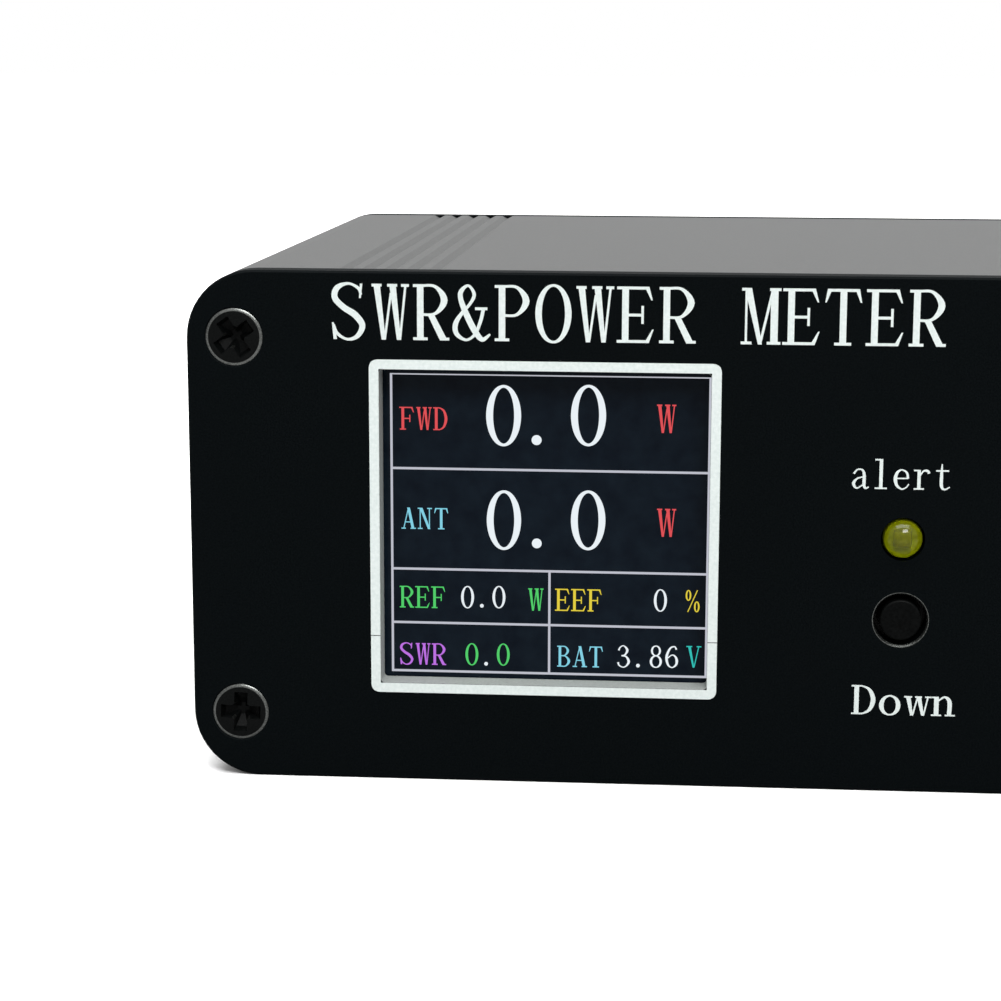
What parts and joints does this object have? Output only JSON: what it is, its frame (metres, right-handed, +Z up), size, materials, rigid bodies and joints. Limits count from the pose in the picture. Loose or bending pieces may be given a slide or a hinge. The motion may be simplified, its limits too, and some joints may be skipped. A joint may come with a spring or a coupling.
{
  "type": "swr meter",
  "caption": "Compact bench SWR and power meter: grooved extruded case, black end plates, square colour display, push keys, indicator lamps and rear coaxial sockets.",
  "frame": {"origin": "middle of the case's flat bottom face, half way along the 60 mm case", "axes": "+Z up, the front panel faces -Y, +X to the right of someone facing the display"},
  "size_m": [0.088, 0.0789, 0.038],
  "materials": {
    "case_finish": "fine bead-blasted charcoal anodising with a soft sheen",
    "panel_finish": "fine-grained black anodising, satin",
    "black_screw": "black oxide on steel, satin, with a bright worn rim",
    "display_glass": "dark display glass with a lit colour picture behind it",
    "white_plastic": "moulded white nylon",
    "foam": "closed-cell foam tape",
    "flex_circuit": "amber polyimide film",
    "board": "green solder mask on glass-epoxy laminate",
    "black_plastic": "moulded black nylon",
    "chip_black": "moulded epoxy package",
    "ferrite": "sintered ferrite",
    "can_aluminium": "drawn aluminium can",
    "key_black": "moulded black stem, semi-gloss",
    "cap_black": "moulded black cap, fine texture",
    "lamp_tint": "tinted diffused epoxy dome, unlit",
    "tinned_wire": "tinned steel lead",
    "socket_plate": "nickel plate on turned brass",
    "socket_insulator": "machined white fluoropolymer",
    "contact_gold": "gold-flashed brass",
    "steel_screw": "zinc plated steel",
    "port_steel": "drawn stainless shell",
    "copper": "bare soft copper",
    "enamel_wire": "enamelled copper wire",
    "resistor_body": "lacquered ceramic body",
    "diode_glass": "small glass package",
    "cell_foil": "laminated foil pouch",
    "lead_red": "insulated stranded lead",
    "legend_print": "thin white ultraviolet-cured print"
  },
  "bodies": {
    "case": {"alert_lamp": "lamp_tint", "antenna_contact": "contact_gold", "antenna_insulator": "socket_insulator", "antenna_socket": "socket_plate", "battery_cell": "cell_foil", "battery_leads": "lead_red", "battery_plug": "white_plastic", "battery_socket": "white_plastic", "battery_tape": "foam", "board_capacitors": "can_aluminium", "board_header": "black_plastic", "board_resistors": "chip_black", "case_bottom": "case_finish", "case_top": "case_finish", "charge_lamp": "lamp_tint", "charger_chip": "chip_black", "charging_socket": "port_steel", "charging_tongue": "black_plastic", "control_board": "board", "controller_chip": "chip_black", "detector_diodes": "diode_glass", "display_backlight": "white_plastic", "display_glass": "display_glass", "display_pad": "foam", "display_ribbon": "flex_circuit", "down_switch": "black_plastic", "forward_core": "ferrite", "forward_winding": "enamel_wire", "front_panel": "panel_finish", "front_panel_screws": "black_screw", "lamp_leads": "tinned_wire", "load_resistors": "resistor_body", "main_board": "board", "power_inductor": "ferrite", "power_switch": "black_plastic", "rear_panel": "panel_finish", "rear_panel_screws": "black_screw", "reverse_core": "ferrite", "reverse_winding": "enamel_wire", "sampling_line": "copper", "socket_nuts": "steel_screw", "socket_screws": "steel_screw", "through_line": "copper", "transmitter_contact": "contact_gold", "transmitter_insulator": "socket_insulator", "transmitter_socket": "socket_plate", "up_switch": "black_plastic"},
    "down_key": {"down_key": "key_black"},
    "up_key": {"up_key": "key_black"},
    "power_button": {"power_plunger": "black_plastic", "power_cap": "cap_black"}
  },
  "joints": [
    {"name": "down_press", "type": "slide", "parent": "case", "child": "down_key", "axis": [0, 1, 0], "range_m": [0, 0.00025], "stiffness_N_per_m": 6000, "springref_m": -0.0001},
    {"name": "up_press", "type": "slide", "parent": "case", "child": "up_key", "axis": [0, 1, 0], "range_m": [0, 0.00025], "stiffness_N_per_m": 6000, "springref_m": -0.0001},
    {"name": "power_press", "type": "slide", "parent": "case", "child": "power_button", "axis": [0, 1, 0], "range_m": [0, 0.002], "stiffness_N_per_m": 1200, "springref_m": -0.0005}
  ]
}
